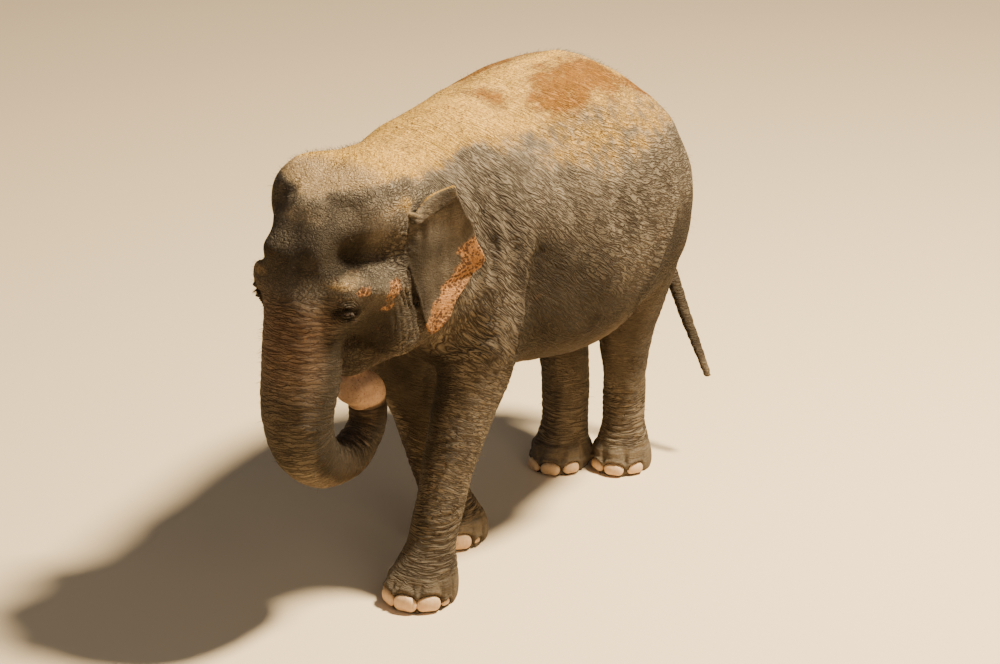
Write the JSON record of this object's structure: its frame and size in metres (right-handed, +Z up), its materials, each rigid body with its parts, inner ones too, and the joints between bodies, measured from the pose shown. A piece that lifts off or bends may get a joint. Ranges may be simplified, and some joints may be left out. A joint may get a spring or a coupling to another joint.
{
  "type": "asian elephant",
  "caption": "Life-size asian elephant cow as a still museum-style model, in mid stride with her trunk curled to her mouth.",
  "frame": {"origin": "middle of the bounding box, on the floor under the feet", "axes": "+Z up, the animal faces -Y, its left side is +X"},
  "size_m": [1.2732, 3.046, 2.2471],
  "materials": {
    "hide": "dry, finely wrinkled grey-brown hide with pale dust on top",
    "nail": "pale pink-cream horn, worn smooth",
    "eye": "wet, dark amber brown"
  },
  "bodies": {
    "root": {"torso": "hide", "neck": "hide", "head": "hide", "trunk_base": "hide", "trunk_upper": "hide", "trunk_bend": "hide", "trunk_tip": "hide", "lower_jaw": "hide", "ear_left": "hide", "ear_right": "hide", "upper_foreleg_left": "hide", "upper_foreleg_right": "hide", "foreleg_left": "hide", "foreleg_right": "hide", "forefoot_left": "hide", "forefoot_right": "hide", "thigh_left": "hide", "thigh_right": "hide", "hindleg_left": "hide", "hindleg_right": "hide", "hindfoot_left": "hide", "hindfoot_right": "hide", "tail": "hide", "tail_tip": "hide", "eye_left": "eye", "eye_right": "eye", "nail_fore_left_a": "nail", "nail_fore_left_b": "nail", "nail_fore_left_c": "nail", "nail_fore_left_d": "nail", "nail_fore_left_e": "nail", "nail_fore_right_a": "nail", "nail_fore_right_b": "nail", "nail_fore_right_c": "nail", "nail_fore_right_d": "nail", "nail_fore_right_e": "nail", "nail_hind_left_a": "nail", "nail_hind_left_b": "nail", "nail_hind_left_c": "nail", "nail_hind_left_d": "nail", "nail_hind_right_a": "nail", "nail_hind_right_b": "nail", "nail_hind_right_c": "nail", "nail_hind_right_d": "nail"}
  },
  "joints": []
}
